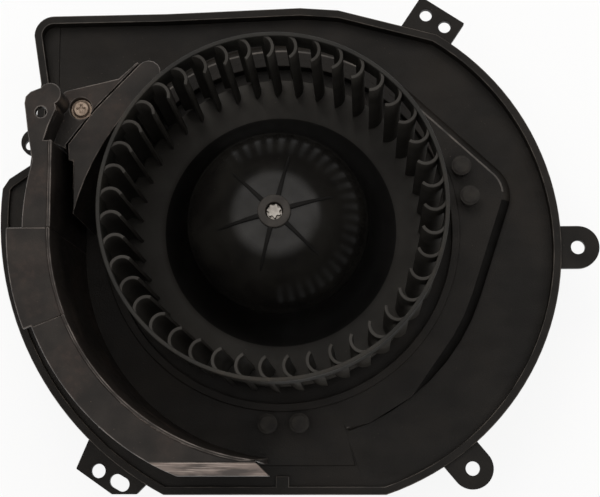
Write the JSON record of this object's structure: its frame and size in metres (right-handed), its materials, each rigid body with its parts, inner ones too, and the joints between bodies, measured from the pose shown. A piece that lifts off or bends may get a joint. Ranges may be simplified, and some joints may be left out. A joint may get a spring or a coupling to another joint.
{
  "type": "blower motor",
  "caption": "Ventilation blower: a forward-curved bladed wheel on a brush motor, hung in rubber isolators on a moulded scroll base plate with a cut-off wall and screw ears.",
  "frame": {"origin": "centre of the motor's flat rear face, on the spin axis", "axes": "+Z along the spin axis towards the wheel's inlet, +X towards the single side ear, +Y towards the paired ear holes"},
  "size_m": [0.299, 0.2509, 0.132],
  "materials": {
    "wheel_plastic": "satin moulded black",
    "shaft_steel": "ground",
    "lamination_steel": "stacked sheet, oiled",
    "enamelled_copper": "enamelled wire",
    "bare_copper": "turned",
    "phenolic_black": "moulded",
    "washer_nylon": "moulded",
    "plate_plastic": "fine moulded grain",
    "wall_plastic": "satin moulded black",
    "yellow_zinc": "yellow-passivated zinc",
    "isolator_rubber": "matt",
    "bracket_zinc": "zinc plated sheet",
    "screw_zinc": "zinc plated",
    "can_steel": "zinc plated, drawn",
    "cap_plastic": "fine moulded grain",
    "sintered_bronze": "sintered",
    "spring_steel": "rolled strip",
    "felt": "oil-soaked felt",
    "ferrite": "sintered and ground",
    "phenolic_brown": "punched paper laminate",
    "sheet_brass": "folded sheet",
    "tinned_brass": "tinned",
    "connector_plastic": "moulded",
    "carbon": "pressed carbon"
  },
  "bodies": {
    "housing": {"base_plate": "plate_plastic", "cutoff_wall": "wall_plastic", "cutoff_screws": "yellow_zinc", "isolator_right": "isolator_rubber", "isolator_bottom": "isolator_rubber", "isolator_left": "isolator_rubber", "motor_bracket": "bracket_zinc", "bracket_screws": "screw_zinc", "motor_can": "can_steel", "rear_cap": "cap_plastic", "cap_screws": "screw_zinc", "front_bearing": "sintered_bronze", "rear_bearing": "sintered_bronze", "front_retainer": "spring_steel", "rear_retainer": "spring_steel", "oil_felts": "felt", "field_magnets": "ferrite", "magnet_clips": "spring_steel", "brush_card": "phenolic_brown", "brush_holders": "sheet_brass", "chokes": "enamelled_copper", "terminals": "tinned_brass", "connector_socket": "connector_plastic"},
    "rotor": {"blower_wheel": "wheel_plastic", "motor_shaft": "shaft_steel", "armature_core": "lamination_steel", "armature_winding": "enamelled_copper", "commutator_bars": "bare_copper", "commutator_sleeve": "phenolic_black", "thrust_washers": "washer_nylon"},
    "right_brush": {"brush_right": "carbon", "brush_spring_right": "spring_steel"},
    "left_brush": {"brush_left": "carbon", "brush_spring_left": "spring_steel"}
  },
  "joints": [
    {"name": "wheel_spin", "type": "hinge", "parent": "housing", "child": "rotor", "pos_m": [0, 0, 0.05], "axis": [0, 0, 1], "continuous": true},
    {"name": "right_brush_slide", "type": "slide", "parent": "housing", "child": "right_brush", "axis": [1, 0, 0], "range_m": [0, 0.003], "stiffness_N_per_m": 100, "springref_m": -0.02},
    {"name": "left_brush_slide", "type": "slide", "parent": "housing", "child": "left_brush", "axis": [-1, 0, 0], "range_m": [0, 0.003], "stiffness_N_per_m": 100, "springref_m": -0.02}
  ]
}
